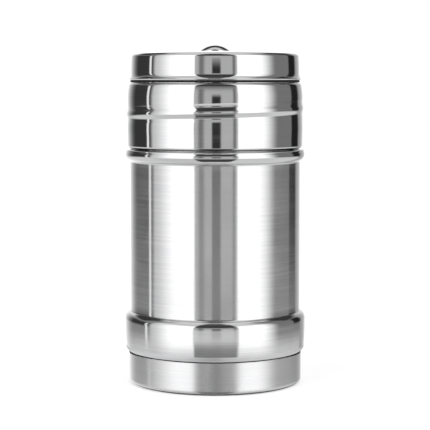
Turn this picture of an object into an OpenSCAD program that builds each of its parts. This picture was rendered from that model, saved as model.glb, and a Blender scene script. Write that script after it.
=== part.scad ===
// Spice shaker with a screw-on head and a rotary dispensing cap.
// Millimetres, +Z up. The origin is the centre of the surface that the shaker stands on.
// The front faces -Y. Every shell is pressed from one thickness of steel sheet.

/* [Sheet] */
// Thickness of the steel sheet
sheet = 0.5; // [0.45:0.05:0.55]
// Smoothness of the round surfaces
$fn = 96; // [48:12:144]

/* [Body tube] */
// Outer radius of the straight tube
tube_r = 28.5; // [28.3:0.1:28.6]
// Outer radius of the band that is swaged over the base cup
band_r = 30.35; // [30.3:0.05:30.6]
// Height of the band's lower edge
band_edge_z = 11; // [10.7:0.1:11.2]
// Height at which the band becomes straight
band_low_z = 12.8; // [12.7:0.1:13]
// Height at which the band stops being straight
band_high_z = 21.7; // [20:0.1:24]
// Rounding radius at the band's lower edge
band_low_round = 2.4; // [2.3:0.1:2.8]
// Rounding radius at the band's upper shoulder
band_high_round = 2.8; // [2.6:0.1:3]
// Outer radius of the bead at the top of the tube
bead_r = 30.05; // [29.95:0.05:30.2]
// Height at which the bead is widest
bead_z = 76.6; // [76.2:0.1:76.8]
// Height of the bead's flat top
bead_top_z = 78.4; // [78.2:0.1:78.5]
// Rounding radius of the bead
bead_round = 2.6; // [2.4:0.1:2.8]

/* [Base cup] */
// Outer radius of the base cup below the band
base_r = 28.95; // [28.8:0.05:29]
// Rounding radius where the wall meets the bottom
base_round = 1.5; // [1:0.1:2]
// Height of the cup's flared rim inside the band
base_rim_z = 21; // [18:0.5:21.5]
// Radius of the dished middle of the bottom
dish_r = 20; // [15:1:23]
// Depth of the dish
dish_depth = 1.2; // [0.6:0.1:2]

/* [Thread] */
// Height gained in one turn
pitch = 4.1; // [4:0.1:4.3]
// Outer radius of the neck's wall
neck_r = 27.95; // [27.75:0.05:27.95]
// Height of the neck's lower edge, inside the tube
neck_low_z = 70; // [64:1:72]
// Height of the neck's rim
neck_top_z = 98.2; // [98:0.1:98.3]
// How far the neck's thread stands out of its wall
neck_thread_h = 0.7; // [0.6:0.05:0.75]
// How far the head's thread stands in from its wall
head_thread_h = 0.55; // [0.45:0.05:0.6]
// Width of a thread at its foot
thread_foot = 1.8; // [1.5:0.1:1.9]
// Width of a thread at its crest
thread_crest = 0.6; // [0.4:0.1:0.7]
// Height of the head's lower thread turn at the front
head_thread_z = 88.3; // [88:0.1:88.6]
// Height from a turn of the head's thread to the turn of the neck's thread above it
thread_gap_z = 1.25; // [1.2:0.05:1.4]

/* [Screw head] */
// Outer radius of the head at its threads
head_r = 29.4; // [29.3:0.05:29.5]
// Height of the head's lower edge
head_low_z = 78.8; // [78.7:0.1:79]
// Height of the slight swell low on the skirt
swell_z = 85.3; // [84:0.1:86]
// Outer radius of that swell
swell_r = 29.55; // [29.5:0.05:29.65]
// Height at which the head starts to curve in
head_curve_z = 95; // [94:0.5:96]
// Radius of that curve
head_curve_round = 25; // [22:1:28]
// Rounding radius where the skirt turns into the shoulder
head_corner = 1.5; // [1.2:0.1:1.6]
// Height of the shoulder under the cap
shoulder_z = 100.6; // [100.4:0.1:100.7]
// Outer radius of the boss that the cap turns on
boss_r = 27.2; // [27:0.05:27.25]
// Height of the dispensing plate's top face
plate_z = 109.7; // [109.5:0.1:109.8]

/* [Rotary cap] */
// Outer radius near the cap's top
cap_r = 28; // [28:0.05:28.2]
// Outer radius of the wall just above the flare
cap_wall_r = 28.15; // [28.1:0.05:28.25]
// Outer radius of the flared lower rim
cap_rim_r = 28.8; // [28.6:0.05:29]
// Radius of the hollow curve of the flare
cap_flare_round = 3; // [2.6:0.2:4]
// Height of the cap's lower edge
cap_low_z = 101.35; // [101.3:0.05:101.5]
// Height of the cap's flat top
cap_top_z = 110.6; // [110.5:0.1:110.8]
// Radius of the flat top
cap_flat_r = 22.6; // [22:0.1:24]
// Rounding radius at the cap's top edge
cap_round = 1.3; // [1.2:0.1:1.4]

/* [Dispensing] */
// Inner radius of the openings
open_in_r = 9; // [8.5:0.5:11]
// Outer radius of the openings
open_out_r = 21.5; // [20:0.5:22]
// Half of the angle that an opening spans
open_half = 34; // [28:1:38]
// Corner radius of the openings
open_corner = 2; // [1:0.5:2.5]
// Radius of the fine holes
fine_r = 0.8; // [0.6:0.1:1]
// Distance between the fine holes
fine_step = 3.1; // [2.8:0.1:4]
// Radius of the coarse holes
coarse_r = 1.7; // [1.4:0.1:2]
// Distance between the coarse holes
coarse_step = 5.2; // [4.8:0.1:6]

/* [Rivet and seal] */
// Radius of the rivet's shank
shank_r = 2; // [1.8:0.1:2.2]
// Radius of the rivet's domed head
dome_r = 4.7; // [4.4:0.1:5]
// Height of the domed head
dome_h = 2.2; // [1.8:0.1:2.4]
// Height of the straight edge under the dome
dome_edge = 0.55; // [0.4:0.05:0.6]
// Running clearance of the cap on the rivet
running = 0.06; // [0.04:0.01:0.08]
// Inner radius of the seal ring
seal_in_r = 26; // [25.5:0.1:26.4]
// Outer radius of the seal ring
seal_out_r = 27.9; // [27.6:0.1:28]

/* [Hidden] */

FRONT = -90;                // direction of the front, and of the closed station
STATION = 90;               // angle from one station to the next
thread_step = 6;            // angle between the thread's sections
thread_fade = 36;           // angle over which a thread rises at each end
thread_root = 0.2;          // depth that a thread's foot is sunk in its wall
neck_turns = [FRONT - 90, FRONT + 450];
head_turns = [FRONT - 150, FRONT + 490];
neck_rim = 0.45;            // radius of the curled rim
base_flare_z = 12.4;        // where the cup's wall starts to flare inside the band
base_flare_h = 1.6;         // height of that flare
dish_slope = 1.5;           // width of the slope round the dish
lip_gap = 0.05;             // gap of a pressed joint, closed by the real weld or crimp
base_lip_r = band_r - sheet - lip_gap;
head_rim_in = 0.2;          // how far the head's lower edge is drawn in
head_rim_h = 0.6;           // height of that rim
head_swell_h = 2;           // height over which the swell dies out
boss_round = 0.8;           // rounding radius of the boss
boss_slope = 0.75;          // fall of the plate towards the boss's edge
cap_edge = 0.4;             // height of the cap's rounded lower edge
cap_fall = 0.55;            // fall of the cap's top towards its rounded edge
pad_r = 7;                  // raised middle of the plate, which the cap rubs on
hole_margin = 2.4;          // blank edge round a field of holes
seal_gap = 0.03;
seal_chamfer = 0.5;
fixed_gap = 0.03;           // gap of a part that is fixed on the rivet's shank
spring_t = 0.3;             // sheet thickness, radius and height of the disc spring
spring_r = 4.6;
spring_h = 0.7;
spring_land = 0.4;          // width of the disc spring's ground faces
washer_r = 4;
washer_t = 0.5;
tail_h = 0.9;
tail_r = 3.2;
tail_chamfer = 0.4;
plate_low_z = plate_z - sheet;
cap_under_z = cap_top_z - sheet;
pad_z = cap_under_z - running;
steel = "silver";
bright_steel = "gainsboro";
brushed_steel = "darkgray";
dark_steel = "gray";
silicone = "whitesmoke";

// Points on an arc in the profile plane, from angle a0 to a1
function arc(c, r, a0, a1, n = 8) =
    [for (i = [0:n]) let (a = a0 + (a1 - a0) * i / n) c + r * [cos(a), sin(a)]];

function reversed(list) = [for (i = [len(list) - 1:-1:0]) list[i]];

// A profile between a path and the same path set in by the sheet's thickness
function skin(outer, inner) = concat(outer, reversed(inner));

// One pressed shell, turned from its outer and inner paths
module shell(outer, inner) {
    rotate_extrude() polygon(skin(outer, inner));
}

// Helical ridge on a wall of radius wall_r. It stands out by height, or in when height is negative.
module thread(wall_r, height, turns, z_front) {
    side = sign(height);
    count = round((turns[1] - turns[0]) / thread_step);
    rings = [for (i = [0:count])
        let (
            a = turns[0] + i * thread_step,
            ends = min(a - turns[0], turns[1] - a) / thread_fade,
            rise = abs(height) * max(0.05, min(1, ends)),
            z = z_front + pitch * (a - FRONT) / 360,
            foot_r = wall_r - side * thread_root,
            crest_r = wall_r + side * rise
        )
        [for (p = [
            [foot_r, z - thread_foot / 2], [crest_r, z - thread_crest / 2],
            [crest_r, z + thread_crest / 2], [foot_r, z + thread_foot / 2]
        ]) [p[0] * cos(a), p[0] * sin(a), p[1]]]
    ];
    sides = 4;
    points = [for (ring = rings) each ring];
    first = [for (k = [0:sides - 1]) k];
    last = [for (k = [sides - 1:-1:0]) count * sides + k];
    walls = [for (i = [0:count - 1], k = [0:sides - 1])
        let (a = i * sides + k, b = i * sides + (k + 1) % sides)
        each [[a, a + sides, b], [b, a + sides, b + sides]]
    ];
    faces = concat([first], walls, [last]);
    polyhedron(points, side < 0 ? faces : [for (f = faces) reversed(f)]);
}

// Cup that closes the bottom. Its flared rim is locked inside the tube's band.
function cup_path(t) = concat(
    [[0, dish_depth + t], [dish_r, dish_depth + t], [dish_r + dish_slope, t]],
    arc([base_r - base_round, base_round], base_round - t, -90, 0),
    [
        [base_r - t, base_flare_z], [base_lip_r - t, base_flare_z + base_flare_h],
        [base_lip_r - t, base_rim_z]
    ]
);

module base_cup() {
    color(steel) shell(cup_path(0), cup_path(sheet));
}

// Welded tube, swaged out into the band below and rolled out into the bead above
function tube_path(t) =
    let (
        low_c = [band_r - band_low_round, band_low_z],
        high_c = [band_r - band_high_round, band_high_z],
        bead_c = [bead_r - bead_round, bead_z],
        edge_a = -asin((band_low_z - band_edge_z) / band_low_round),
        shoulder_a = acos((tube_r - t - high_c[0]) / (band_high_round - t)),
        bead_low_a = -acos((tube_r - t - bead_c[0]) / (bead_round - t)),
        bead_top_a = asin((bead_top_z - t - bead_z) / (bead_round - t))
    )
    concat(
        arc(low_c, band_low_round - t, edge_a, 0),
        arc(high_c, band_high_round - t, 0, shoulder_a),
        arc(bead_c, bead_round - t, bead_low_a, bead_top_a, 12),
        [[neck_r + lip_gap, bead_top_z - t]]
    );

module body_tube() {
    color(brushed_steel) shell(tube_path(0), tube_path(sheet));
}

// Ring with the rolled thread, fixed inside the top of the tube
module neck_ring() {
    color(steel) {
        difference() {
            translate([0, 0, neck_low_z]) cylinder(r = neck_r, h = neck_top_z - neck_rim - neck_low_z);
            translate([0, 0, neck_low_z - 1]) cylinder(r = neck_r - sheet, h = neck_top_z);
        }
        rotate_extrude() translate([neck_r - neck_rim, neck_top_z - neck_rim]) circle(neck_rim);
        thread(neck_r, neck_thread_h, neck_turns, head_thread_z + thread_gap_z);
    }
}

// Soft ring between the neck's rim and the head's shoulder
module seal_ring() {
    z0 = neck_top_z + seal_gap;
    z1 = shoulder_z - sheet - seal_gap;
    color(silicone) rotate_extrude() polygon([
        [seal_in_r, z0], [seal_out_r, z0], [seal_out_r, z1 - seal_chamfer],
        [seal_out_r - seal_chamfer, z1], [seal_in_r, z1]
    ]);
}

// Outline of a dispensing opening: a piece of a ring with round corners
function opening_outline() =
    let (
        c = open_corner,
        outer_a = open_half - asin(c / (open_out_r - c)),
        inner_a = open_half - asin(c / (open_in_r + c)),
        outer_c = (open_out_r - c) * [cos(outer_a), sin(outer_a)],
        inner_c = (open_in_r + c) * [cos(inner_a), sin(inner_a)],
        side = concat(
            arc(outer_c, c, outer_a, open_half + 90, 5),
            arc(inner_c, c, open_half + 90, inner_a + 180, 5)
        ),
        outer_mid = [for (i = [1:11]) let (a = outer_a * (i / 6 - 1)) open_out_r * [cos(a), sin(a)]],
        inner_mid = [for (i = [1:5]) let (a = inner_a * (1 - i / 3)) open_in_r * [cos(a), sin(a)]]
    )
    concat(outer_mid, side, inner_mid, [for (p = reversed(side)) [p[0], -p[1]]]);

// Field of round holes on rings inside an opening's outline
module hole_field(r, step) {
    rows = floor((open_out_r - open_in_r - 2 * hole_margin) / step) + 1;
    spread = (open_out_r - open_in_r - (rows - 1) * step) / 2;
    for (row = [0:rows - 1]) {
        ring_r = open_in_r + spread + row * step;
        half = open_half - asin(hole_margin / ring_r);
        count = floor(2 * half * PI / 180 * ring_r / step) + 1;
        for (i = [0:count - 1])
            rotate((i - (count - 1) / 2) * 2 * half / count) translate([ring_r, 0, 0])
                cylinder(r = r, h = 3, center = true);
    }
}

// Outer path of the screw head from its lower edge to the middle of the dispensing plate
function head_path(t) =
    let (
        curve_c = [head_r - head_curve_round, head_curve_z],
        turn_r = head_curve_round - head_corner,
        turn_a = asin((shoulder_z - head_corner - head_curve_z) / turn_r),
        corner_c = curve_c + turn_r * [cos(turn_a), sin(turn_a)],
        boss_c = [boss_r - boss_round, plate_z - boss_slope - boss_round]
    )
    concat(
        [[head_r - head_rim_in - t, head_low_z], [head_r - t, head_low_z + head_rim_h]],
        [[swell_r - t, swell_z], [head_r - t, swell_z + head_swell_h]],
        arc(curve_c, head_curve_round - t, 0, turn_a),
        arc(corner_c, head_corner - t, turn_a, 90, 4),
        [[boss_r - t, shoulder_z - t]],
        arc(boss_c, boss_round - t, 0, 85, 4),
        [[cap_flat_r, plate_z - t], [0, plate_z - t]]
    );

// Threaded skirt, shoulder, boss and dispensing plate, drawn from one piece
module screw_head() {
    color(bright_steel) {
        difference() {
            union() {
                shell(head_path(0), head_path(sheet));
                translate([0, 0, plate_z - 0.1]) cylinder(r = pad_r, h = pad_z - plate_z + 0.1);
            }
            translate([0, 0, plate_z]) {
                rotate(FRONT + STATION) hole_field(fine_r, fine_step);
                rotate(FRONT + 2 * STATION) hole_field(coarse_r, coarse_step);
                rotate(FRONT + 3 * STATION) translate([0, 0, -2])
                    linear_extrude(4) polygon(opening_outline());
                cylinder(r = shank_r + fixed_gap, h = 6, center = true);
            }
        }
        thread(head_r - sheet, -head_thread_h, head_turns, head_thread_z);
    }
}

// Outer path of the rotary cap
function cap_path(t) =
    let (
        flare_a = acos(1 - (cap_rim_r - cap_wall_r) / cap_flare_round),
        flare_z = cap_low_z + cap_edge + cap_flare_round * sin(flare_a),
        flare_c = [cap_wall_r + cap_flare_round, flare_z],
        top_c = [cap_r - cap_round, cap_top_z - cap_fall - cap_round]
    )
    concat(
        [[cap_rim_r - cap_edge / 4 - t, cap_low_z]],
        arc(flare_c, cap_flare_round + t, 180 + flare_a, 180, 5),
        arc(top_c, cap_round - t, 0, 82, 6),
        [[cap_flat_r, cap_top_z - t], [0, cap_top_z - t]]
    );

// Cap with one opening, which turns over the dispensing plate's stations
module rotary_cap() {
    color(bright_steel) difference() {
        shell(cap_path(0), cap_path(sheet));
        translate([0, 0, cap_top_z]) {
            rotate(FRONT) translate([0, 0, -2]) linear_extrude(4) polygon(opening_outline());
            cylinder(r = shank_r + running, h = 4, center = true);
        }
    }
}

// Rivet that the cap turns on: domed head above, upset tail below
module cap_rivet() {
    dome_z = cap_top_z + running;
    tail_z = plate_low_z - spring_h - washer_t;
    bulge = dome_h - dome_edge;
    dome_round = (bulge ^ 2 + dome_r ^ 2) / (2 * bulge);
    dome_a = asin(dome_r / dome_round);
    color(bright_steel) rotate_extrude() polygon(concat(
        [[0, tail_z - tail_h], [tail_r - tail_chamfer, tail_z - tail_h]],
        [[tail_r, tail_z - tail_h + tail_chamfer], [tail_r, tail_z], [shank_r, tail_z]],
        [[shank_r, dome_z], [dome_r, dome_z]],
        arc([0, dome_z + dome_h - dome_round], dome_round, 90 - dome_a, 90)
    ));
}

// Disc spring under the plate, which gives the cap its drag
module spring_washer() {
    z0 = plate_low_z - spring_h;
    bore_r = shank_r + 2 * fixed_gap;
    color(dark_steel) rotate_extrude() polygon([
        [bore_r, z0], [bore_r + spring_land, z0], [spring_r, plate_low_z - spring_t],
        [spring_r, plate_low_z], [spring_r - spring_land, plate_low_z], [bore_r, z0 + spring_t]
    ]);
}

// Flat washer between the disc spring and the rivet's tail
module rivet_washer() {
    z0 = plate_low_z - spring_h - washer_t;
    color(dark_steel) difference() {
        translate([0, 0, z0]) cylinder(r = washer_r, h = washer_t);
        translate([0, 0, z0 - 1]) cylinder(r = shank_r + 2 * fixed_gap, h = washer_t + 2);
    }
}

base_cup();
body_tube();
neck_ring();
seal_ring();
screw_head();
rotary_cap();
cap_rivet();
spring_washer();
rivet_washer();
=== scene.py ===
"""Stainless steel spice shaker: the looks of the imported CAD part.

The brushed tube, the polished screw head and the rotary cap are turned from their sheet outlines,
with the rolled threads pressed into the sheet. Outlines are in millimetres, and meshes in metres.
The front faces -Y.
"""
import math

import bmesh
import bpy
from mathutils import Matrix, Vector


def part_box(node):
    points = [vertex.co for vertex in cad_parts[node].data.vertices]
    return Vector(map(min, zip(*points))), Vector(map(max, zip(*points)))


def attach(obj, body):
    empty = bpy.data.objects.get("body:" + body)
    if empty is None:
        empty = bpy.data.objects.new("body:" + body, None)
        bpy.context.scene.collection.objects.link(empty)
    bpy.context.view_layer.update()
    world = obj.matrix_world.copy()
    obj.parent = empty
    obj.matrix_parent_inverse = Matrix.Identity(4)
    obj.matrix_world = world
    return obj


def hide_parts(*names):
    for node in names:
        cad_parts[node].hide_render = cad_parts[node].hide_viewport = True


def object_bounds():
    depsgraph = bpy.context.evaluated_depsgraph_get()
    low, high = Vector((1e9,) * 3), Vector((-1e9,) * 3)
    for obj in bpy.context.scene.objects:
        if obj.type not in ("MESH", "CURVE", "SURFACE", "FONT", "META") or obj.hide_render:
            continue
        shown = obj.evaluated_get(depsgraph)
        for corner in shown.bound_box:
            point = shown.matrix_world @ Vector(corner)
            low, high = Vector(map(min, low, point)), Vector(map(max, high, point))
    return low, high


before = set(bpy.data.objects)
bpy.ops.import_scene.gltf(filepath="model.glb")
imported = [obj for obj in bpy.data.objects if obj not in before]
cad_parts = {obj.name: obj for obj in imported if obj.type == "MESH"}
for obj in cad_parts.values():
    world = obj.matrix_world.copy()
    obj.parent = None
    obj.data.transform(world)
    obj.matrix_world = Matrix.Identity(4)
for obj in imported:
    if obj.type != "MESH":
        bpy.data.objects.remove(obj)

cad_low, cad_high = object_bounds()

MM = 0.001
NEAR_AXIS = 0.001    # radius of a turned surface's closed middle, millimetres
STEPS = 288          # sides of a turned surface
FRONT = -90          # direction of the front and of the closed station, in degrees
STATION = 90         # angle between the dispensing plate's stations
FINISHES = {}        # material by the name of its record slot, or of its zone on a piece


# ---------------------------------------------------------------- driving dimensions, millimetres

def node_size(node):
    """Outer radius, lowest point and highest point of a CAD node."""
    low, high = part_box(node)
    return high.x / MM, low.z / MM, high.z / MM


SHEET = 0.5                          # thickness of the steel
PITCH = 4.1                          # of the head's thread

BAND_R, BAND_EDGE_Z, BEAD_TOP_Z = node_size("body_tube")
BAND_R -= 0.02                       # keeps the finer circle inside the CAD's box
TUBE_R = 28.5
BAND_LIP_Z = BAND_EDGE_Z + 0.3       # where the band's sheet ends
BAND_LOW_Z = BAND_EDGE_Z + 1.8       # where its lower round ends
BAND_HIGH_Z = BAND_EDGE_Z + 10.7     # where its upper round starts
BAND_BARREL_Z = BAND_EDGE_Z + 8.5    # below this the band draws in slightly
BAND_BARREL_R = 90.0
BAND_LOW_ROUND = 3.5
BAND_HIGH_ROUND = 2.8
BEAD_R = BAND_R - 0.3
BEAD_Z = BEAD_TOP_Z - 1.65           # middle of the bead
BEAD_ROUND = 2.6
BEAD_EDGE = 0.45                     # radius of the bead's upper edge
CREASE = 0.7                         # radius of the hollow where a round meets the tube

BASE_R = 28.95
BASE_LIP_R, _, BASE_RIM_Z = node_size("base_cup")
BASE_ROUND = 1.5
BASE_FLARE_Z = 12.4                  # above this the cup widens inside the band
SEAM = 0.55                          # height of the painted shade line under the band
SEAM_SIDES = 0.8                     # how much taller that line is at the sides
DISH_R = 20.0
DISH_DEPTH = 1.2
DISH_ROUND = 1.1

NECK_R = 27.95
_, NECK_LOW_Z, NECK_TOP_Z = node_size("neck_ring")
NECK_RIM = 0.45                      # radius of the curl at the mouth
NECK_TURNS = (-90, 450)              # where its thread starts and ends, in degrees from the front
NECK_THREAD = 0.62                   # height of its thread
NECK_THREAD_HALF = 1.1               # and half its width

HEAD_LOW_Z = node_size("screw_head")[1]
HEAD_WALL_R = 29.28
HEAD_RIM = 1.0                       # radius of the turned-in lower rim
HEAD_CURVE_Z = 95.0                  # above this the wall curves in
HEAD_CURVE = 25.0
HEAD_CORNER = 1.5
SHOULDER_Z = HEAD_LOW_Z + 21.9
HEAD_TURNS = (-150, 490)
HEAD_THREAD_Z = HEAD_LOW_Z + 9.5     # lower turn of its inner thread at the front
HEAD_THREAD = 0.3
HEAD_THREAD_HALF = 0.9
RIDGE_Z = HEAD_LOW_Z + 12.2          # the ridge that the rolling leaves outside, at the front
RIDGE_TURNS = (-210, 240)
RIDGE_FADES = (70, 200)              # over how many degrees it rises and dies out
RIDGE = 0.6
RIDGE_HALF = 2.3
HOLLOW = 0.3                         # the shallow hollow on both sides of the ridge
HOLLOW_HALF = 3.4
SWELL_Z = HEAD_LOW_Z + 6.2           # a slight swelling of the wall below the ridge
SWELL = 0.1
SWELL_HALF = 2.4
NECK_THREAD_Z = HEAD_THREAD_Z + 1.25

CAP_RIM_R, CAP_LOW_Z, CAP_TOP_Z = node_size("rotary_cap")
CAP_WALL_R = 28.12
CAP_TOP_R = 27.95
CAP_FLAT_R = 22.6                    # of the flat middle, on the cap and on the plate
CAP_ROUND = 1.25
CAP_FALL = 0.55                      # how much the top falls from the middle to its edge
CAP_FLARE = 2.6                      # radius of the curve into the flared rim
CAP_EDGE = 0.4

PLATE_Z = CAP_TOP_Z - 0.9            # top of the dispensing plate
BOSS_R = 27.2                        # the boss under the cap
BOSS_ROUND = 0.8
BOSS_SLOPE = 0.75                    # how much its top falls from the plate to its edge
SEAT_R = 28.2                        # step on the shoulder, close under the cap's rim, that carries painted shade
SEAT_SHADE_Z = SHOULDER_Z - 0.13
SEAT_TOP_Z = CAP_LOW_Z - 0.1
PAD_R = 7.0                          # raised middle of the plate, close under the cap
PAD_Z = CAP_TOP_Z - SHEET - 0.06

OPEN_IN_R = 9.0
OPEN_OUT_R = 21.5
OPEN_HALF = 34                       # half the opening's angle
OPEN_CORNER = 2.0
HOLE_MARGIN = 2.4                    # least distance from the opening's outline to a hole's middle
FINE_HOLES = (0.8, 3.1)              # radius and spacing
COARSE_HOLES = (1.7, 5.2)
CUT_EDGE = 0.12                      # radius of the edge of a punched opening

SHANK_R = 2.0
DOME_R, TAIL_Z, DOME_Z = node_size("cap_rivet")
DOME_EDGE = 0.55                     # height of the dome's upright edge
DOME_H = 2.2
TAIL_R = 3.2
TAIL_H = 0.9
TAIL_EDGE = 0.4                      # radius of the tail's lower edge

SEAL_R, SEAL_LOW_Z, SEAL_TOP_Z = node_size("seal_ring")
SEAL_WIDTH = 1.9
SEAL_EDGE = 0.3                      # radius of its edges, and of the one in the shoulder's corner
SEAL_CORNER = 0.5


# ---------------------------------------------------------------- outlines

def arc(centre, radius, start, end, count=10):
    """Points on an arc, angles in degrees."""
    angles = [math.radians(start + (end - start) * i / count) for i in range(count + 1)]
    return [(centre[0] + radius * math.cos(a), centre[1] + radius * math.sin(a)) for a in angles]


def run(start, end, spacing=0.15):
    """Evenly spaced points on a straight run, both ends included."""
    count = max(1, round(math.dist(start, end) / spacing))
    return [tuple(a + (b - a) * i / count for a, b in zip(start, end)) for i in range(count + 1)]


def tidy(path, closed=False):
    """The path without points that lie on their neighbour."""
    kept = [path[0]]
    for point in path[1:]:
        if math.dist(point, kept[-1]) > 1e-4:
            kept.append(point)
    if closed and math.dist(kept[0], kept[-1]) < 1e-4:
        kept.pop()
    return kept


def inset(path, distance, closed=False):
    """The path moved to its left by a distance."""
    moved = []
    last = len(path) - 1
    for i, (x, y) in enumerate(path):
        before = path[i - 1] if i or closed else path[i]
        after = path[(i + 1) % len(path)] if i < last or closed else path[i]
        dx, dy = after[0] - before[0], after[1] - before[1]
        length = math.hypot(dx, dy)
        moved.append((x - dy / length * distance, y + dx / length * distance))
    return moved


def rounded_end(a, b, count=5):
    """Half a circle from a to b, bulging to the right of the way from a to b."""
    centre = ((a[0] + b[0]) / 2, (a[1] + b[1]) / 2)
    start = math.degrees(math.atan2(a[1] - centre[1], a[0] - centre[0]))
    return arc(centre, math.dist(a, b) / 2, start, start + 180, count)[1:-1]


def sheet_outline(path, thickness=SHEET):
    """Closed outline of a sheet whose outer face follows the path upwards."""
    outer = tidy(path)
    inner = inset(outer, thickness)
    return outer + rounded_end(outer[-1], inner[-1]) + inner[::-1] + rounded_end(inner[0], outer[0])


def crease(centre, radius, side):
    """Where a round bulge meets the tube in a hollow, above (side 1) or below (side -1) the bulge.

    Returns the bulge's last angle and the hollow's points, from the bulge to the tube.
    """
    across = TUBE_R + CREASE - centre[0]
    along = side * math.sqrt((radius + CREASE) ** 2 - across ** 2)
    angle = math.degrees(math.atan2(along, across))
    return angle, arc((TUBE_R + CREASE, centre[1] + along), CREASE, angle + 180, 180, 6)


def smooth(x):
    """Smooth step from 0 to 1."""
    x = min(1.0, max(0.0, x))
    return x * x * (3 - 2 * x)


def thread_height(z, theta, z_front, turns, half_width, fades=(40, 40)):
    """Height of a rolled thread, 0 to 1, at a height and an angle.

    turns: where it starts and ends, in degrees from the front. fades: degrees it rises and dies out over.
    """
    height = 0.0
    angle = turns[0] + (theta - FRONT - turns[0]) % 360
    while angle <= turns[1]:
        x = z - z_front - PITCH * angle / 360
        if abs(x) < half_width:
            fade = smooth((angle - turns[0]) / fades[0]) * smooth((turns[1] - angle) / fades[1])
            height = max(height, fade * math.cos(math.pi / 2 * x / half_width) ** 2)
        angle += 360
    return height


# ---------------------------------------------------------------- mesh making

def turn(bm, path, closed=False, shift=None):
    """Adds the surface that a path sweeps about the Z axis. shift(r, z, angle) moves points outwards."""
    rings = []
    for r, z in path:
        if r < 1e-6:
            rings.append([bm.verts.new((0, 0, z * MM))] * STEPS)
            continue
        ring = []
        for i in range(STEPS):
            theta = 360 * i / STEPS
            out = (r + (shift(r, z, theta) if shift else 0)) * MM
            a = math.radians(theta)
            ring.append(bm.verts.new((out * math.cos(a), out * math.sin(a), z * MM)))
        rings.append(ring)
    if closed:
        rings.append(rings[0])
    for low, high in zip(rings, rings[1:]):
        for i in range(STEPS):
            j = (i + 1) % STEPS
            corners = [low[i], low[j], high[j], high[i]]
            bm.faces.new(list(dict.fromkeys(corners))).smooth = True


def ring_points(radius):
    """The corners of a turned surface's ring."""
    return [(radius * math.cos(2 * math.pi * i / STEPS), radius * math.sin(2 * math.pi * i / STEPS))
            for i in range(STEPS)]


def loop_at(bm, points, z):
    """Adds a closed loop of edges at a height."""
    verts = [bm.verts.new((x * MM, y * MM, z * MM)) for x, y in points]
    return verts, [bm.edges.new((a, b)) for a, b in zip(verts, verts[1:] + verts[:1])]


def hole_wall(bm, outline, top, bottom):
    """Adds the wall of a punched hole with rounded edges. Returns its top and bottom edges."""
    levels = [(CUT_EDGE * (1 - math.sin(a)), top - CUT_EDGE * (1 - math.cos(a)))
              for a in (math.pi / 8 * i for i in range(5))]
    levels += [(out, top + bottom - z) for out, z in reversed(levels)]
    loops = [loop_at(bm, inset(outline, -out, closed=True), z) for out, z in levels]
    corners = [verts for verts, edges in loops]
    for upper, lower in zip(corners, corners[1:]):
        for i in range(len(upper)):
            j = (i + 1) % len(upper)
            bm.faces.new((upper[i], upper[j], lower[j], lower[i])).smooth = True
    return loops[0][1], loops[-1][1]


def plate(bm, radius, top, bottom, holes):
    """Adds the two flat faces of a round plate and the walls of its holes."""
    upper = loop_at(bm, ring_points(radius), top)[1]
    lower = loop_at(bm, ring_points(radius), bottom)[1]
    for outline in holes:
        above, below = hole_wall(bm, outline, top, bottom)
        upper += above
        lower += below
    for edges in (upper, lower):
        bmesh.ops.triangle_fill(bm, edges=edges, use_beauty=True, use_dissolve=False)


def finished(bm, name, body, node, slot, zones=None):
    """Makes the piece, which rides on its body, stands for its CAD node and takes its slot's finish.

    zones: pairs of another finish and the test for the places, in millimetres, that have it.
    """
    bmesh.ops.remove_doubles(bm, verts=bm.verts, dist=1e-7)
    bmesh.ops.recalc_face_normals(bm, faces=bm.faces)
    mesh = bpy.data.meshes.new(name)
    mesh.materials.append(FINISHES[slot])
    for index, (finish, test) in enumerate(zones or [], start=1):
        mesh.materials.append(finish)
        for face in bm.faces:
            if test(face.calc_center_median() / MM):
                face.material_index = index
    bm.to_mesh(mesh)
    bm.free()
    mesh.set_sharp_from_angle(angle=math.radians(38))
    piece = bpy.data.objects.new(name, mesh)
    bpy.context.scene.collection.objects.link(piece)
    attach(piece, body)
    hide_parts(node)
    return piece


# ---------------------------------------------------------------- the dispensing openings

def turned_by(points, degrees):
    """Points turned about the axis."""
    c, s = math.cos(math.radians(degrees)), math.sin(math.radians(degrees))
    return [(x * c - y * s, x * s + y * c) for x, y in points]


def on_circle(radius, angle):
    """The point on a circle at an angle."""
    return radius * math.cos(math.radians(angle)), radius * math.sin(math.radians(angle))


def opening_outline():
    """Outline of an opening: a piece of a ring with round corners, counterclockwise."""
    c = OPEN_CORNER
    outer_a = OPEN_HALF - math.degrees(math.asin(c / (OPEN_OUT_R - c)))
    inner_a = OPEN_HALF - math.degrees(math.asin(c / (OPEN_IN_R + c)))
    side = arc(on_circle(OPEN_OUT_R - c, outer_a), c, outer_a, OPEN_HALF + 90, 8)
    side += arc(on_circle(OPEN_IN_R + c, inner_a), c, OPEN_HALF + 90, inner_a + 180, 8)
    outer = arc((0, 0), OPEN_OUT_R, -outer_a, outer_a, 24)[1:-1]
    inner = arc((0, 0), OPEN_IN_R, inner_a, -inner_a, 10)[1:-1]
    mirrored = [(x, -y) for x, y in reversed(side)]
    return tidy(outer + side + inner + mirrored, closed=True)


def hole_field(radius, spacing):
    """Outlines of round holes on rings inside an opening's outline."""
    outlines = []
    span = OPEN_OUT_R - OPEN_IN_R
    rows = math.floor((span - 2 * HOLE_MARGIN) / spacing) + 1
    first = OPEN_IN_R + (span - (rows - 1) * spacing) / 2
    for row in range(rows):
        ring_r = first + row * spacing
        half = OPEN_HALF - math.degrees(math.asin(HOLE_MARGIN / ring_r))
        count = math.floor(2 * math.radians(half) * ring_r / spacing) + 1
        for i in range(count):
            angle = (i - (count - 1) / 2) * 2 * half / count
            outlines.append(arc(on_circle(ring_r, angle), radius, 0, 360, 32)[:-1])
    return outlines


# ---------------------------------------------------------------- node trees

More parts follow.
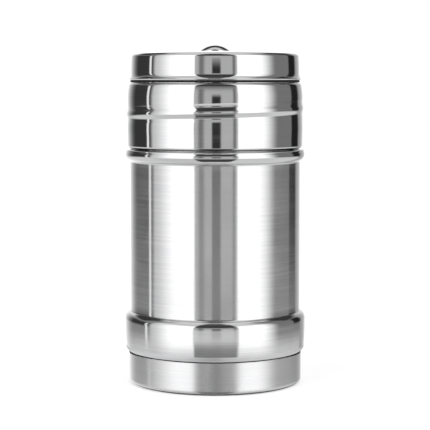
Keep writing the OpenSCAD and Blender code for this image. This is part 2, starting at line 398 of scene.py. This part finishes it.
class Tree:
    """Short calls that add nodes to one node tree."""

    def __init__(self, tree):
        self.nodes = tree.nodes
        self.links = tree.links
        self.nodes.clear()

    def add(self, kind, settings=None, inputs=None):
        """Adds a node. inputs holds values or the sockets to link, by name or number."""
        node = self.nodes.new("ShaderNode" + kind)
        for name, value in (settings or {}).items():
            setattr(node, name, value)
        for key, value in (inputs or {}).items():
            if isinstance(value, bpy.types.NodeSocket):
                self.links.new(value, node.inputs[key])
            else:
                node.inputs[key].default_value = value
        return node

    def math(self, operation, *values):
        """Result of a sum on numbers or sockets."""
        return self.add("Math", {"operation": operation}, dict(enumerate(values))).outputs[0]

    def ramp(self, value, low, high, start=0.0, end=1.0):
        """Value carried smoothly from low..high to start..end."""
        return self.add("MapRange", {"interpolation_type": "SMOOTHSTEP"}, {
            "Value": value, "From Min": low, "From Max": high, "To Min": start, "To Max": end}).outputs[0]

    def noise(self, place, scale, stretch=(1, 1, 1), detail=3.0, roughness=0.5):
        """Noise whose cells are about 1 / scale metres, stretched along the axes."""
        mapped = self.add("Mapping", None, {"Vector": place, "Scale": stretch}).outputs[0]
        return self.add("TexNoise", None, {"Vector": mapped, "Scale": scale, "Detail": detail,
                                           "Roughness": roughness}).outputs[0]

    def blend(self, share, first, second):
        """Mix of two colours."""
        node = self.add("Mix", {"data_type": "RGBA"})
        for key, value in (("Factor", share), ("A", first), ("B", second)):
            socket = next(s for s in node.inputs if s.name == key and s.enabled)
            if isinstance(value, bpy.types.NodeSocket):
                self.links.new(value, socket)
            else:
                socket.default_value = value
        return next(s for s in node.outputs if s.enabled)


def new_material(name):
    """A material and its empty node tree."""
    material = bpy.data.materials.new(name)
    material.use_nodes = True
    return material, Tree(material.node_tree)


PAINTED_CREVICE_SHADE = (0.02, 0.02, 0.022, 1)     # painted shade: colour that steel is darkened to deep in a crevice
FINE_STRETCH = (0.012, 0.012, 1)     # the streaks of the brushing run round the axis
WIDE_STRETCH = (0.015, 0.015, 1)
QUARTER_TURN = 0.25


def grey(level):
    """A neutral colour."""
    return level, level, level, 1


def steel(name, tone, roughness, grain=0.0, wobble=0.0, spread=0.0, smear=0.15,
          reach=1.0, shade=(0.1, 0.7)):
    """Stainless steel. Lengths are in millimetres.

    tone: grey level. grain: depth of the brushing round the axis. wobble: unevenness of the sheet.
    spread: anisotropy of the brushing. smear: how much handling changes the roughness.
    reach: how far from a crevice its painted shade still darkens. shade: openness at which that painted
    shade is black, and at which it is clear.
    """
    material, t = new_material(name)
    place = t.add("TexCoord").outputs["Object"]
    streaks = t.noise(place, 9000, FINE_STRETCH, detail=4, roughness=0.7)
    wide_streaks = t.noise(place, 2200, WIDE_STRETCH, detail=2)
    clouds = t.noise(place, 55, detail=3)
    fine = t.noise(place, 700, detail=2)

    light = grey(tone * 1.02)
    streak = tone * (0.97 - 0.03 * spread)
    dark = (streak, streak * 1.004, streak * 1.02, 1)
    share = t.math("ADD", t.math("MULTIPLY", wide_streaks, 0.7), t.math("MULTIPLY", clouds, 0.3))
    share = t.ramp(share, 0.35, 0.65)
    colour = t.blend(share, dark, light)
    edge = t.add("NewGeometry").outputs["Pointiness"]
    worn = t.ramp(edge, 0.52, 0.6, 0.0, 0.35)
    colour = t.blend(worn, colour, grey(tone * 1.1))
    # Painted shade: the colour darkens to near black where nearby surfaces hem it in, in creases, gaps and
    # seams.
    gap = t.add("AmbientOcclusion", {"samples": 8}, {"Distance": reach * MM}).outputs["AO"]
    colour = t.blend(t.ramp(gap, *shade), PAINTED_CREVICE_SHADE, colour)

    rough = t.ramp(clouds, 0.35, 0.7, roughness * (1 - smear), roughness * (1 + smear))
    uneven = t.math("MULTIPLY", t.math("SUBTRACT", wide_streaks, 0.5), roughness * 0.3)
    rough = t.math("ADD", rough, uneven)
    sheet_normal = t.add("Bump", None, {
        "Strength": 1.0, "Distance": wobble * MM, "Height": fine}).outputs[0]
    normal = t.add("Bump", None, {
        "Strength": 1.0, "Distance": grain * MM, "Height": streaks, "Normal": sheet_normal}).outputs[0]
    shader = t.add("BsdfPrincipled", None, {
        "Base Color": colour, "Metallic": 1.0, "Roughness": rough, "Normal": normal})
    if spread:
        shader.inputs["Anisotropic"].default_value = spread
        shader.inputs["Anisotropic Rotation"].default_value = QUARTER_TURN
        around = t.add("Tangent", {"direction_type": "RADIAL", "axis": "Z"}).outputs[0]
        t.links.new(around, shader.inputs["Tangent"])
    t.add("OutputMaterial", None, {"Surface": shader.outputs[0]})
    return material


def silicone(name):
    """Milky soft ring with a moulded skin."""
    material, t = new_material(name)
    place = t.add("TexCoord").outputs["Object"]
    clouds = t.noise(place, 120, detail=3)
    pores = t.noise(place, 4000, detail=2)
    colour = t.blend(t.ramp(clouds, 0.3, 0.7), (0.72, 0.72, 0.70, 1), (0.82, 0.82, 0.80, 1))
    normal = t.add("Bump", None, {"Strength": 0.4, "Distance": 0.02 * MM, "Height": pores}).outputs[0]
    shader = t.add("BsdfPrincipled", None, {
        "Base Color": colour, "Roughness": t.ramp(clouds, 0.3, 0.7, 0.42, 0.55), "Normal": normal,
        "Subsurface Weight": 0.25, "Subsurface Scale": 0.001, "IOR": 1.41})
    t.add("OutputMaterial", None, {"Surface": shader.outputs[0]})
    return material


def black_shade(name):
    """Painted shade: a near-black material put in gaps where there is only shade, with faint specks."""
    material, t = new_material(name)
    place = t.add("TexCoord").outputs["Object"]
    specks = t.noise(place, 2500, detail=4)
    colour = t.blend(t.ramp(specks, 0.35, 0.7), (0.012, 0.012, 0.013, 1), (0.05, 0.05, 0.052, 1))
    normal = t.add("Bump", None, {"Strength": 0.5, "Distance": 0.01 * MM, "Height": specks}).outputs[0]
    shader = t.add("BsdfPrincipled", None, {
        "Base Color": colour, "Roughness": 0.8, "Specular IOR Level": 0.05, "Normal": normal})
    t.add("OutputMaterial", None, {"Surface": shader.outputs[0]})
    return material


def make_finishes():
    """The materials of the record's slots, and those of the zones that are finished differently or carry
    painted shade.
    """
    # reach and shade set how far and how dark each steel's painted crevice shade is.
    FINISHES["polished_steel"] = steel("head_polish", 0.66, 0.07, wobble=0.0004, grain=0.00001, reach=0.5)
    FINISHES["bead_steel"] = steel(
        "bead_polish", 0.66, 0.08, wobble=0.0004, grain=0.00001, reach=1.2, shade=(0.35, 0.85))
    FINISHES["band_steel"] = steel(
        "band_polish", 0.67, 0.12, grain=0.0001, spread=0.7, reach=1.2, shade=(0.3, 0.8))
    # The lip's steel is satin, and also lighter in tone than the band's: a painted reflection of the white
    # table close in front.
    FINISHES["lip_steel"] = steel("lip_satin_painted_sheen", 0.8, 0.6, grain=0.0003, smear=0.2, reach=0.5)
    # Near-black painted shade for the gap under the cap's rim and for the line under the band.
    FINISHES["grimy_steel"] = black_shade("gap_painted_shade")
    FINISHES["cap_steel"] = steel(
        "cap_polish", 0.66, 0.06, wobble=0.0003, grain=0.00001, reach=1.0, shade=(0.2, 0.75))
    FINISHES["brushed_steel"] = steel("tube_brushing", 0.68, 0.17, grain=0.00015, spread=1.0, reach=1.6)
    FINISHES["base_steel"] = steel(
        "base_satin", 0.69, 0.29, grain=0.0004, spread=0.65, reach=1.0, shade=(0.5, 0.95))
    FINISHES["inner_steel"] = steel("neck_drawn", 0.62, 0.22, grain=0.0003, spread=0.6)
    FINISHES["rivet_steel"] = steel("rivet_polish", 0.64, 0.1, wobble=0.0003)
    FINISHES["spring_steel"] = steel("spring_temper", 0.45, 0.3, grain=0.0003, smear=0.3)
    FINISHES["washer_steel"] = steel("washer_plain", 0.55, 0.28, grain=0.0004, smear=0.3)
    FINISHES["silicone"] = silicone("seal_silicone")


# ---------------------------------------------------------------- the pieces

def make_base_cup():
    """Cup that closes the bottom, with a dished middle and its flared rim inside the band."""
    inside_r = DISH_R - DISH_ROUND
    low = [(NEAR_AXIS, DISH_DEPTH)] + run((1, DISH_DEPTH), (inside_r, DISH_DEPTH), 2.0)
    low += arc((inside_r, DISH_DEPTH - DISH_ROUND), DISH_ROUND, 90, 45, 5)
    low += arc((DISH_R + 0.75, DISH_ROUND), DISH_ROUND, 225, 270, 5)
    low += run((DISH_R + 1.2, 0), (BASE_R - BASE_ROUND, 0), 2.0)
    wall = arc((BASE_R - BASE_ROUND, BASE_ROUND), BASE_ROUND, -90, 0, 10)
    seam_z = BAND_LIP_Z - SEAM
    wall += run((BASE_R, BASE_ROUND + 0.4), (BASE_R, seam_z - SEAM_SIDES), 0.6)
    wall += run((BASE_R, seam_z - SEAM_SIDES), (BASE_R, seam_z), 0.1) + [(BASE_R, BASE_FLARE_Z)]
    lip = [(BASE_LIP_R, BASE_FLARE_Z + 1.6)]
    lip += run((BASE_LIP_R, BASE_FLARE_Z + 2), (BASE_LIP_R, BASE_RIM_Z - 0.2), 1.0)
    bm = bmesh.new()
    outer = tidy(low + wall + lip)
    inner = inset(outer, SHEET)
    turn(bm, outer + rounded_end(outer[-1], inner[-1]) + inner[::-1], closed=True)

    # The base's wall under the band's lip takes painted shade here.
    def grimy(p):
        """Painted shade: the dark line under the band, taller at the sides."""
        return p.z > seam_z - SEAM_SIDES * (p.x / BASE_R) ** 8 and p.xy.length > BASE_R - 0.1

    return finished(bm, "base_cup_shell", "jar", "base_cup", "base_steel",
                    [(FINISHES["grimy_steel"], grimy)])


def make_body_tube():
    """Brushed tube, swaged out into the band below and rolled into the polished bead above."""
    barrel_a = math.degrees(math.asin((BAND_BARREL_Z - BAND_LOW_Z) / BAND_BARREL_R))
    barrel = arc((BAND_R - BAND_BARREL_R, BAND_BARREL_Z), BAND_BARREL_R, -barrel_a, 0, 12)
    low_out = math.cos(math.radians(barrel_a)) * BAND_LOW_ROUND
    low_c = (barrel[0][0] - low_out, BAND_LOW_Z + math.sin(math.radians(barrel_a)) * BAND_LOW_ROUND)
    high_c = (BAND_R - BAND_HIGH_ROUND, BAND_HIGH_Z)
    bead_c = (BEAD_R - BEAD_ROUND, BEAD_Z)
    edge_a = -math.degrees(math.asin((low_c[1] - BAND_LIP_Z) / BAND_LOW_ROUND))
    band_a, band_hollow = crease(high_c, BAND_HIGH_ROUND, 1)
    bead_a, bead_hollow = crease(bead_c, BEAD_ROUND, -1)
    top_a = math.degrees(math.asin((BEAD_TOP_Z - BEAD_Z) / BEAD_ROUND))
    path = arc(low_c, BAND_LOW_ROUND, edge_a, -barrel_a, 12) + barrel
    path += run((BAND_R, BAND_BARREL_Z + 0.4), (BAND_R, BAND_HIGH_Z), 0.6)
    path += arc(high_c, BAND_HIGH_ROUND, 0, band_a, 14) + band_hollow
    path += run((TUBE_R, band_hollow[-1][1]), (TUBE_R, bead_hollow[-1][1]), 2.0)
    path += bead_hollow[::-1] + arc(bead_c, BEAD_ROUND, bead_a, top_a - 14, 18)
    shoulder = path[-1]
    path += arc((shoulder[0] - 0.35, BEAD_TOP_Z - BEAD_EDGE), BEAD_EDGE, 25, 90, 5)
    path += run((shoulder[0] - 0.8, BEAD_TOP_Z), (NECK_R + 0.3, BEAD_TOP_Z), 0.3)
    bm = bmesh.new()
    turn(bm, sheet_outline(path), closed=True)
    bead_low_z = bead_hollow[0][1] + 0.2
    band_high_z = band_hollow[0][1]
    lip_high_z = BAND_LOW_Z + 0.25
    return finished(bm, "body_tube_shell", "jar", "body_tube", "brushed_steel", [
        (FINISHES["bead_steel"], lambda p: p.z > bead_low_z and p.xy.length > NECK_R),
        (FINISHES["band_steel"], lambda p: p.z < band_high_z and p.xy.length > TUBE_R),
        # The lip's lighter tone is a painted reflection of the white table close in front.
        (FINISHES["lip_steel"], lambda p: p.z < lip_high_z and p.xy.length > TUBE_R)])


def make_neck_ring():
    """Ring with the rolled thread, fixed inside the top of the tube."""
    rim_c = (NECK_R - NECK_RIM, NECK_TOP_Z - NECK_RIM)
    outer = run((NECK_R, NECK_LOW_Z), (NECK_R, rim_c[1]), 0.15)
    curl = arc(rim_c, NECK_RIM, 0, 235, 14)
    inner = run((NECK_R - SHEET, rim_c[1] - NECK_RIM), (NECK_R - SHEET, NECK_LOW_Z), 0.15)

    def thread(r, z, theta):
        """How far the rolled thread moves the ring's wall out."""
        return NECK_THREAD * thread_height(z, theta, NECK_THREAD_Z, NECK_TURNS, NECK_THREAD_HALF)

    bm = bmesh.new()
    turn(bm, tidy(outer + curl + inner, closed=True), closed=True, shift=thread)
    return finished(bm, "neck_ring_rolled", "jar", "neck_ring", "inner_steel")


def make_seal_ring():
    """Soft ring between the neck's rim and the head's shoulder."""
    out_r = SEAL_R - SEAL_EDGE
    in_r = SEAL_R - SEAL_WIDTH + SEAL_EDGE
    path = arc((out_r, SEAL_LOW_Z + SEAL_EDGE), SEAL_EDGE, -90, 0, 6)
    path += arc((SEAL_R - SEAL_CORNER, SEAL_TOP_Z - SEAL_CORNER), SEAL_CORNER, 0, 90, 6)
    path += arc((in_r, SEAL_TOP_Z - SEAL_EDGE), SEAL_EDGE, 90, 180, 6)
    path += arc((in_r, SEAL_LOW_Z + SEAL_EDGE), SEAL_EDGE, 180, 270, 6)
    bm = bmesh.new()
    turn(bm, tidy(path, closed=True), closed=True)
    return finished(bm, "seal_ring_soft", "seal", "seal_ring", "silicone")


def head_wave(r, z, theta):
    """How far the rolled thread moves the head's wall out: outside a ridge, inside a thread."""
    swell = SWELL * math.exp(-((z - SWELL_Z) / SWELL_HALF) ** 2)
    ridge = RIDGE * thread_height(z, theta, RIDGE_Z, RIDGE_TURNS, RIDGE_HALF, RIDGE_FADES)
    hollow = HOLLOW * thread_height(z, theta, RIDGE_Z, RIDGE_TURNS, HOLLOW_HALF, RIDGE_FADES)
    thread = 0
    if r < HEAD_WALL_R - SHEET / 2:
        thread = HEAD_THREAD * thread_height(z, theta, HEAD_THREAD_Z, HEAD_TURNS, HEAD_THREAD_HALF)
    return swell + ridge - hollow - thread


def plate_openings():
    """Outlines of the plate's stations, in their order after the closed one, and of the rivet's hole."""
    outlines = [turned_by(o, FRONT + STATION) for o in hole_field(*FINE_HOLES)]
    outlines += [turned_by(o, FRONT + 2 * STATION) for o in hole_field(*COARSE_HOLES)]
    outlines += [turned_by(opening_outline(), FRONT + 3 * STATION)]
    return outlines + [ring_points(SHANK_R + 0.05)[::6]]


def plate_pad():
    """Closed outline of the plate's raised middle."""
    edge = 0.2
    pad = [(SHANK_R + 0.3, PLATE_Z - 0.1), (SHANK_R + 0.3, PAD_Z - 0.05), (SHANK_R + 0.4, PAD_Z)]
    pad += [(PAD_R - 0.3, PAD_Z)]
    return pad + arc((PAD_R - 0.3, PAD_Z - edge), edge, 90, 0, 4) + [(PAD_R, PLATE_Z - 0.1)]


def shoulder_seat():
    """Closed outline of the step on the shoulder that carries the painted shade under the cap's rim."""
    in_r = BOSS_R - 0.2
    return [(in_r, SHOULDER_Z - 0.4), (SEAT_R, SHOULDER_Z - 0.5), (SEAT_R, SEAT_SHADE_Z),
            (SEAT_R, SEAT_TOP_Z - 0.1), (SEAT_R - 0.1, SEAT_TOP_Z), (in_r, SEAT_TOP_Z)]


def make_screw_head():
    """Threaded skirt, shoulder, boss and dispensing plate, drawn from one sheet."""
    curve_c = (HEAD_WALL_R - HEAD_CURVE, HEAD_CURVE_Z)
    turn_r = HEAD_CURVE - HEAD_CORNER
    turn_a = math.degrees(math.asin((SHOULDER_Z - HEAD_CORNER - HEAD_CURVE_Z) / turn_r))
    corner_c = (curve_c[0] + turn_r * math.cos(math.radians(turn_a)), SHOULDER_Z - HEAD_CORNER)
    boss_c = (BOSS_R - BOSS_ROUND, PLATE_Z - BOSS_SLOPE - BOSS_ROUND)
    path = arc((HEAD_WALL_R - HEAD_RIM, HEAD_LOW_Z + 0.91), HEAD_RIM, -65, 0, 9)
    path += run((HEAD_WALL_R, HEAD_LOW_Z + HEAD_RIM), (HEAD_WALL_R, HEAD_CURVE_Z), 0.15)
    path += arc(curve_c, HEAD_CURVE, 0, turn_a, 28)
    path += arc(corner_c, HEAD_CORNER, turn_a, 90, 12)
    path += arc((BOSS_R + 0.1, SHOULDER_Z + 0.1), 0.1, 270, 180, 3)
    path += run((BOSS_R, SHOULDER_Z + 0.2), (BOSS_R, boss_c[1]), 1.0)
    path += arc(boss_c, BOSS_ROUND, 0, 80, 8)
    path += [(CAP_FLAT_R + 0.6, PLATE_Z - 0.03), (CAP_FLAT_R, PLATE_Z)]
    outer = tidy(path)
    inner = inset(outer, SHEET)
    inner[-1] = (CAP_FLAT_R, PLATE_Z - SHEET)
    bm = bmesh.new()
    turn(bm, inner[::-1] + rounded_end(inner[0], outer[0]) + outer, shift=head_wave)
    plate(bm, CAP_FLAT_R, PLATE_Z, PLATE_Z - SHEET, plate_openings())
    turn(bm, plate_pad(), closed=True)
    turn(bm, shoulder_seat(), closed=True)

    # The gap under the cap's rim takes painted shade here.
    def grimy(p):
        """Painted shade in the gap under the cap's rim."""
        return SEAT_SHADE_Z < p.z < PLATE_Z - 1 and BOSS_R - 0.3 < p.xy.length < SEAT_R + 0.1

    return finished(bm, "screw_head_shell", "head", "screw_head", "polished_steel",
                    [(FINISHES["grimy_steel"], grimy)])


def make_rotary_cap():
    """Cap with one opening, which turns over the dispensing plate."""
    flare_a = math.degrees(math.acos(1 - (CAP_RIM_R - CAP_WALL_R) / CAP_FLARE))
    flare_z = CAP_LOW_Z + CAP_EDGE + CAP_FLARE * math.sin(math.radians(flare_a))
    top_c = (CAP_TOP_R - CAP_ROUND, CAP_TOP_Z - CAP_FALL - CAP_ROUND)
    path = [(CAP_RIM_R - 0.12, CAP_LOW_Z), (CAP_RIM_R - 0.02, CAP_LOW_Z + 0.15)]
    path += arc((CAP_WALL_R + CAP_FLARE, flare_z), CAP_FLARE, 180 + flare_a, 180, 12)
    for i in range(1, 8):
        share = i / 8
        path += [(CAP_WALL_R + (CAP_TOP_R - CAP_WALL_R) * share ** 2,
                  flare_z + (top_c[1] - flare_z) * share)]
    path += arc(top_c, CAP_ROUND, 5, 82, 16)
    path += run((CAP_FLAT_R + 2.5, CAP_TOP_Z - 0.3), (CAP_FLAT_R + 0.8, CAP_TOP_Z - 0.06), 0.8)
    path += [(CAP_FLAT_R, CAP_TOP_Z)]
    outer = tidy(path)
    inner = inset(outer, SHEET)
    inner[-1] = (CAP_FLAT_R, CAP_TOP_Z - SHEET)
    bm = bmesh.new()
    turn(bm, inner[::-1] + rounded_end(inner[0], outer[0]) + outer)
    holes = [turned_by(opening_outline(), FRONT), ring_points(SHANK_R + 0.08)[::6]]
    plate(bm, CAP_FLAT_R, CAP_TOP_Z, CAP_TOP_Z - SHEET, holes)
    return finished(bm, "rotary_cap_shell", "cap", "rotary_cap", "cap_steel")


def make_cap_rivet():
    """Rivet that the cap turns on: domed head above, upset tail below."""
    low = DOME_Z - DOME_H
    bulge = DOME_H - DOME_EDGE
    radius = (bulge ** 2 + DOME_R ** 2) / (2 * bulge)
    half = math.degrees(math.asin(DOME_R / radius))
    tail_top = TAIL_Z + TAIL_H
    path = [(NEAR_AXIS, TAIL_Z)] + run((0.5, TAIL_Z), (TAIL_R - 0.5, TAIL_Z), 0.5)
    path += arc((TAIL_R - TAIL_EDGE, TAIL_Z + TAIL_EDGE), TAIL_EDGE, -90, 0, 6)
    path += [(TAIL_R, tail_top - 0.05), (TAIL_R - 0.05, tail_top), (SHANK_R, tail_top)]
    path += run((SHANK_R, tail_top + 0.1), (SHANK_R, low - 0.1), 0.5)
    path += [(SHANK_R, low), (DOME_R - 0.15, low), (DOME_R, low + 0.15), (DOME_R, low + DOME_EDGE - 0.15)]
    path += arc((0, DOME_Z - radius), radius, 90 - half + 1.2, 90, 20)[:-1] + [(NEAR_AXIS, DOME_Z)]
    bm = bmesh.new()
    turn(bm, tidy(path), closed=True)
    return finished(bm, "cap_rivet_domed", "head", "cap_rivet", "rivet_steel")


def make_washers():
    """Disc spring and flat washer under the plate, with rounded edges."""
    spring_r, low, high = node_size("spring_washer")
    bore = SHANK_R + 0.06
    face = [(bore, low + 0.02), (bore + 0.35, low), (spring_r - 0.03, high - 0.3), (spring_r, high - 0.26),
            (spring_r, high - 0.03), (spring_r - 0.03, high), (spring_r - 0.4, high), (bore, low + 0.3)]
    bm = bmesh.new()
    turn(bm, face, closed=True)
    spring = finished(bm, "disc_spring", "head", "spring_washer", "spring_steel")
    washer_r, low, high = node_size("rivet_washer")
    edge = 0.08
    ring = [(bore, low + edge), (bore + edge, low)] + arc((washer_r - edge, low + edge), edge, -90, 0, 4)
    ring += arc((washer_r - edge, high - edge), edge, 0, 90, 4) + [(bore + edge, high), (bore, high - edge)]
    bm = bmesh.new()
    turn(bm, tidy(ring, closed=True), closed=True)
    washer = finished(bm, "flat_washer", "head", "rivet_washer", "washer_steel")
    return spring, washer


# ---------------------------------------------------------------- studio

# Cards of the studio, laid over each other in this order. Directions are seen from the shaker, in
# degrees: azimuth from the front, positive to the right, and elevation above the horizon.
# name: brightness, azimuth from and to, softness of those edges, elevation from and to, and theirs
CARDS = {
    "upper_haze":       (0.3, (-200, 200), (1, 1), (20, 60), (10, 12)),
    "table":            (0.85, (-200, 200), (1, 1), (-100, -10), (1, 10)),
    "grey_foreground":  (0.28, (-28, 30), (4, 4), (-62, -12.5), (16, 1)),
    "dark_foreground":  (0.05, (-28, 30), (4, 4), (-62, -31), (16, 6)),
    "dark_canopy":      (0.06, (-28, 30), (4, 4), (14, 62), (6, 10)),
    "left_diffuser":    (0.78, (-90.5, -27), (8, 3), (-100, 70), (1, 12)),
    "right_wall":       (0.24, (28, 119), (3, 4), (-9, 60), (11, 12)),
    "right_flag":       (0.02, (119, 136), (4, 4), (-7, 24), (8, 12)),
    "right_diffuser":   (0.85, (29, 74), (3, 36), (-100, 70), (1, 12)),
    "left_softbox":     (1.75, (-70, -27), (40, 3), (-15, 36), (9, 12)),
    "right_softbox":    (1.75, (30, 73), (3, 36), (-15, 36), (9, 12)),
    "left_slit":        (1.2, (-99.5, -95.5), (2, 2), (-12, 16), (4, 6)),
    "back_left":        (1.3, (-200, -151), (1, 50), (-60, 24), (10, 6)),
    "back_right_edge":  (0.45, (140, 200), (8, 1), (-60, 24), (10, 6)),
    "back_right":       (1.25, (163, 200), (40, 1), (-60, 24), (10, 6)),
    "grey_card":        (0.6, (-27, 29), (2, 2), (-12.5, 17), (2, 14)),
    "card_left_edge":   (0.24, (-21.5, -14.5), (5, 6), (-12, 17), (4, 8)),
    "card_right_edge":  (0.22, (23.5, 27), (3, 2), (-12, 17), (4, 8)),
    "camera":           (0.04, (-4, 7.5), (2, 3), (-12, 6), (4, 8)),
    "table_edge":       (1.0, (-28, 30), (2, 2), (-12.5, -8), (1, 3)),
    "overhead_softbox": (0.9, (-200, 200), (1, 1), (62, 100), (10, 1)),
    "overhead_left":    (0.9, (-200, -110), (1, 20), (54, 100), (8, 1)),
    "overhead_right":   (0.9, (110, 200), (20, 1), (54, 100), (8, 1)),
    "canopy_top":       (0.12, (-28, 26), (4, 12), (56, 82), (6, 8)),
    "back_dark_left":   (0.05, (-200, -112), (1, 12), (27, 52), (6, 8)),
    "back_dark_right":  (0.05, (112, 200), (12, 1), (27, 52), (6, 8)),
}
STUDIO_DARK = 0.05       # brightness where no card stands
BACKDROP = 1.02          # brightness behind the shaker, white
FLOOR_HALF = 3           # half the table top's width, metres
FLOOR_GREY = 0.85
FLOOR_GLOW = 0.6

SENSOR = 36              # width of the camera's sensor, and its focal length, millimetres
LENS = 134
AIM_Z = 0.05605          # height of the point it looks at, metres
TILT = 4.95              # how far it looks down, degrees
DISTANCE = 0.538         # from that point, metres


def make_studio_light():
    """World light: softboxes, a grey card with the camera in front of it, and a white table."""
    world = bpy.data.worlds.new("studio")
    bpy.context.scene.world = world
    world.use_nodes = True
    t = Tree(world.node_tree)
    direction = t.add("TexCoord").outputs["Generated"]
    x, y, z = t.add("SeparateXYZ", None, {0: direction}).outputs
    azimuth = t.math("DEGREES", t.math("ARCTAN2", x, t.math("MULTIPLY", y, -1)))
    elevation = t.math("DEGREES", t.math("ARCSINE", z))
    level = STUDIO_DARK
    for brightness, azimuths, azimuth_soft, elevations, elevation_soft in CARDS.values():
        mask = 1.0
        for value, (low, high), (low_soft, high_soft) in (
                (azimuth, azimuths, azimuth_soft), (elevation, elevations, elevation_soft)):
            rise = t.ramp(value, low - low_soft / 2, low + low_soft / 2)
            fall = t.ramp(value, high - high_soft / 2, high + high_soft / 2, 1.0, 0.0)
            mask = t.math("MULTIPLY", mask, t.math("MULTIPLY", rise, fall))
        mixed = t.add("Mix", {"data_type": "FLOAT"}, {0: mask, 2: level, 3: brightness})
        level = mixed.outputs[0]
    backdrop = t.add("LightPath").outputs["Is Camera Ray"]
    shown = t.add("Mix", {"data_type": "FLOAT"}, {0: backdrop, 2: level, 3: BACKDROP})
    background = t.add("Background", None, {"Color": shown.outputs[0], "Strength": 1.0})
    t.add("OutputWorld", None, {"Surface": background.outputs[0]})


def make_floor():
    """Pale lit table top. The steel reflects the table card instead of this plane."""
    bm = bmesh.new()
    bmesh.ops.create_grid(bm, x_segments=1, y_segments=1, size=FLOOR_HALF)
    mesh = bpy.data.meshes.new("table_top")
    bm.to_mesh(mesh)
    bm.free()
    floor = bpy.data.objects.new("table_top", mesh)
    bpy.context.scene.collection.objects.link(floor)
    floor.location.z = cad_low.z
    material, t = new_material("table_white")
    diffuse = t.add("BsdfDiffuse", None, {"Color": grey(FLOOR_GREY)}).outputs[0]
    glow = t.add("Emission", None, {"Color": grey(1), "Strength": FLOOR_GLOW}).outputs[0]
    both = t.add("AddShader", None, {0: diffuse, 1: glow}).outputs[0]
    t.add("OutputMaterial", None, {"Surface": both})
    mesh.materials.append(material)
    floor.visible_glossy = False
    floor.visible_diffuse = False


def make_camera():
    """Long lens a little above the shaker's middle."""
    data = bpy.data.cameras.new("camera")
    data.sensor_width = SENSOR
    data.lens = LENS
    camera = bpy.data.objects.new("camera", data)
    bpy.context.scene.collection.objects.link(camera)
    tilt = math.radians(TILT)
    away = Vector((0, -math.cos(tilt), math.sin(tilt)))
    camera.location = Vector((0, 0, AIM_Z)) + DISTANCE * away
    camera.rotation_euler = (math.pi / 2 - tilt, 0, 0)
    bpy.context.scene.camera = camera


def main():
    """Builds the pieces, then the studio round them."""
    bpy.context.scene.view_settings.view_transform = "Standard"
    make_finishes()
    make_base_cup()
    make_body_tube()
    make_neck_ring()
    make_seal_ring()
    make_screw_head()
    make_rotary_cap()
    make_cap_rivet()
    make_washers()
    make_studio_light()
    make_floor()
    make_camera()


main()
